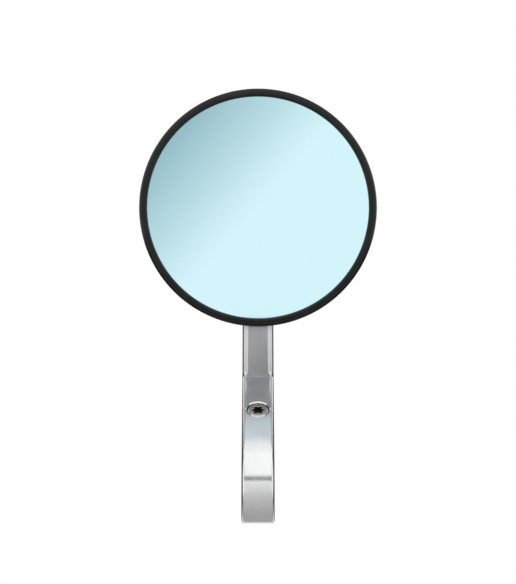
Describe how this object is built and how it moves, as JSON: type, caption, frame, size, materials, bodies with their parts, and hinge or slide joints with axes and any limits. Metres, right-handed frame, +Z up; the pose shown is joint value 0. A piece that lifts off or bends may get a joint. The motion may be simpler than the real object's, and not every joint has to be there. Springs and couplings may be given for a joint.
{
  "type": "motorcycle bar end mirror",
  "caption": "Round mirror head on a ball joint, carried by a straight aluminium arm with a slit clamp ring that grips the end of a handlebar.",
  "frame": {"origin": "on the handlebar's axis, in the middle of the clamp ring's bore", "axes": "+X along the handlebar, +Y away from the rider, +Z up the arm to the mirror head"},
  "size_m": [0.08, 0.0534, 0.1471],
  "materials": {
    "machined_aluminium": "fine satin, bright machined",
    "stainless_steel": "bright turned",
    "black_anodised": "satin black anodised",
    "tinted_mirror": "pale blue tinted mirror",
    "seat_nylon": "natural nylon",
    "gasket_rubber": "matt black rubber"
  },
  "bodies": {
    "arm": {"clamp_arm": "machined_aluminium", "clamp_screw": "stainless_steel", "ball_stud": "stainless_steel", "stud_washer": "stainless_steel", "stud_nut": "stainless_steel"},
    "rear_seat": {"rear_ball_seat": "seat_nylon"},
    "front_seat": {"front_ball_seat": "seat_nylon"},
    "head": {"mirror_housing": "black_anodised", "pressure_cup": "seat_nylon", "disc_spring": "stainless_steel", "retainer_plate": "stainless_steel", "retainer_screws": "stainless_steel", "glass_gasket": "gasket_rubber", "mirror_glass": "tinted_mirror", "bezel": "black_anodised"}
  },
  "joints": [
    {"name": "head_pan", "type": "hinge", "parent": "arm", "child": "rear_seat", "pos_m": [0, -0.001, 0.092], "axis": [0, 0, 1], "range_deg": [-15, 15]},
    {"name": "head_tilt", "type": "hinge", "parent": "rear_seat", "child": "front_seat", "pos_m": [0, -0.001, 0.092], "axis": [1, 0, 0], "range_deg": [-15, 15]},
    {"name": "head_spin", "type": "hinge", "parent": "front_seat", "child": "head", "pos_m": [0, -0.001, 0.092], "axis": [0, 1, 0], "continuous": true}
  ]
}
